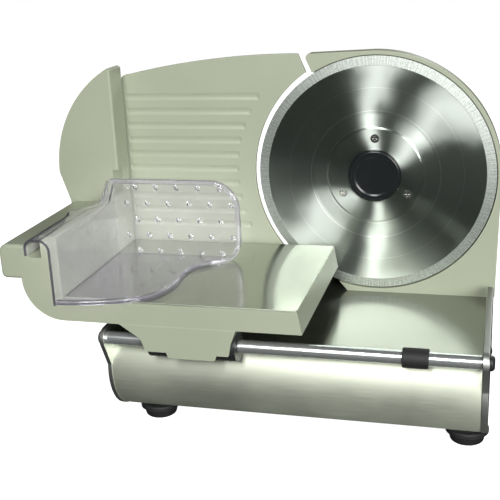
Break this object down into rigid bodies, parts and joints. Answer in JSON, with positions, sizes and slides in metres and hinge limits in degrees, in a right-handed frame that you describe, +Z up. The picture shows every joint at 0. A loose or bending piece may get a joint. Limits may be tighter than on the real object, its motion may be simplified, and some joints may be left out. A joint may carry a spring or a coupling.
{
  "type": "deli meat slicer",
  "caption": "Electric deli slicer with a round blade, ribbed gauge plate, sliding food tray with a clear pusher, guide rod and stainless base.",
  "frame": {"origin": "middle of the machine's footprint box at the height of the table it stands on, with the carriage at rest as in the picture", "axes": "+Z up; +X to the right of a person who faces the blade, along the carriage's travel; +Y away from that person, along the blade's spindle"},
  "size_m": [0.436, 0.2995, 0.329],
  "materials": {
    "painted_casting": "cast and painted satin",
    "stainless_sheet": "brushed",
    "end_plate_steel": "polished",
    "blade_steel": "turned and polished",
    "chrome_bar": "polished",
    "machined_steel": "machined",
    "zinc_fastener": "plated",
    "black_plastic": "moulded",
    "cap_plastic": "moulded",
    "black_rubber": "matt",
    "belt_rubber": "matt",
    "clear_plastic": "clear moulded",
    "cast_aluminium": "cast",
    "motor_paint": "satin"
  },
  "bodies": {
    "base": {"base_shell": "stainless_sheet", "left_end_plate": "end_plate_steel", "right_end_plate": "end_plate_steel", "base_bottom_plate": "stainless_sheet", "foot_front_left": "black_rubber", "foot_front_right": "black_rubber", "foot_rear_left": "black_rubber", "foot_rear_right": "black_rubber", "foot_screws": "zinc_fastener", "guide_rod": "chrome_bar", "rod_nut_left": "chrome_bar", "rod_nut_right": "black_plastic", "rod_bumper": "black_rubber", "blade_housing": "painted_casting", "housing_bolts": "zinc_fastener", "drive_cover": "painted_casting", "cover_screws": "zinc_fastener", "bearing_housing": "cast_aluminium", "bearing_housing_screws": "zinc_fastener", "front_bearing": "machined_steel", "rear_bearing": "machined_steel", "motor": "motor_paint", "motor_mount": "machined_steel", "drive_belt": "belt_rubber", "switch_bezel": "black_plastic", "cable_inlet": "black_rubber", "thickness_scale": "black_plastic", "gauge_rods": "machined_steel", "gauge_rod_support": "machined_steel"},
    "blade": {"blade": "blade_steel", "blade_screws": "zinc_fastener", "hub_cap": "cap_plastic", "blade_spindle": "machined_steel", "blade_pulley": "cast_aluminium", "spindle_nut": "zinc_fastener"},
    "motor_rotor": {"motor_shaft": "machined_steel", "motor_pulley": "cast_aluminium"},
    "gauge": {"gauge_plate": "painted_casting", "gauge_bracket": "cast_aluminium", "gauge_screws": "zinc_fastener"},
    "knob": {"thickness_knob": "black_plastic", "knob_spindle": "machined_steel"},
    "slider": {"glide_bush": "black_plastic"},
    "carriage": {"carriage_casting": "painted_casting", "tray_plate": "stainless_sheet", "carriage_bracket": "painted_casting", "bracket_screws": "zinc_fastener", "roller_fork": "machined_steel", "roller_axle": "machined_steel"},
    "roller": {"roller": "black_plastic"},
    "pusher": {"pusher_plate": "clear_plastic", "pusher_side": "clear_plastic", "pusher_floor": "clear_plastic"},
    "rocker": {"rocker": "cap_plastic"}
  },
  "joints": [
    {"name": "blade_spin", "type": "hinge", "parent": "base", "child": "blade", "pos_m": [0.099, 0.0498, 0.21], "axis": [0, 1, 0], "continuous": true},
    {"name": "motor_spin", "type": "hinge", "parent": "base", "child": "motor_rotor", "pos_m": [0.139, 0.0498, 0.053], "axis": [0, 1, 0], "continuous": true},
    {"name": "knob_turn", "type": "hinge", "parent": "base", "child": "knob", "pos_m": [-0.051, 0.0498, 0.055], "axis": [0, 1, 0], "range_deg": [0, 300]},
    {"name": "gauge_slide", "type": "slide", "parent": "base", "child": "gauge", "axis": [0, 1, 0], "range_m": [0, 0.015]},
    {"name": "carriage_slide", "type": "slide", "parent": "base", "child": "slider", "axis": [1, 0, 0], "range_m": [-0.028, 0.14]},
    {"name": "carriage_tilt", "type": "hinge", "parent": "slider", "child": "carriage", "pos_m": [0.099, -0.1152, 0.0965], "axis": [1, 0, 0], "range_deg": [0, 45]},
    {"name": "roller_spin", "type": "hinge", "parent": "carriage", "child": "roller", "pos_m": [-0.051, 0.0198, 0.09905], "axis": [0, 1, 0], "continuous": true},
    {"name": "pusher_slide", "type": "slide", "parent": "carriage", "child": "pusher", "axis": [0, 1, 0], "range_m": [-0.06, 0.045]},
    {"name": "rocker_tilt", "type": "hinge", "parent": "base", "child": "rocker", "pos_m": [0.039, 0.1238, 0.052], "axis": [1, 0, 0], "range_deg": [0, 12]}
  ],
  "couplings": [
    {"joint": "motor_spin", "follows": "blade_spin", "ratio": 5.2},
    {"joint": "knob_turn", "follows": "gauge_slide", "rad_per_m": 349.06}
  ]
}
